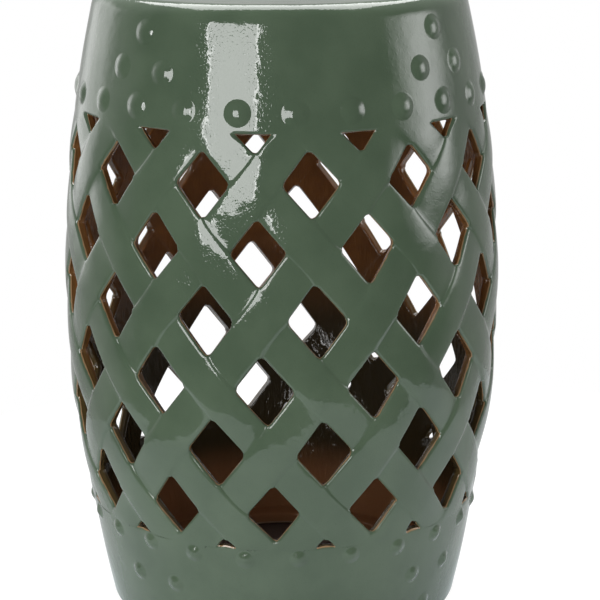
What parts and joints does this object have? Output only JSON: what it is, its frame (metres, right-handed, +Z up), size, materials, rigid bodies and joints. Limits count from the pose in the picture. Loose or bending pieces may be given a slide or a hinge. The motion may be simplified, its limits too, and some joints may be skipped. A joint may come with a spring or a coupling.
{
  "type": "garden stool",
  "caption": "Barrel-shaped glazed ceramic garden stool, open underneath, with a pierced wall of woven straps between two bands of round studs",
  "frame": {"origin": "on the ground plane under the middle of the foot ring, which is the bottom centre of the stool", "axes": "+Z up along the drum's axis to the seat, the pictured side faces -Y, +X to the right of the picture"},
  "size_m": [0.3198, 0.3193, 0.457],
  "materials": {
    "green_glaze": "thick glossy dark jade glaze, breaking to tan on thin edges",
    "bare_clay": "bare fired clay"
  },
  "bodies": {
    "root": {"seat_top": "green_glaze", "upper_band": "green_glaze", "lattice_wall": "green_glaze", "lower_band": "green_glaze", "foot_ring": "bare_clay", "upper_stud_row": "green_glaze", "upper_stud_triangles": "green_glaze", "lower_stud_row": "green_glaze", "lower_stud_triangles": "green_glaze"}
  },
  "joints": []
}
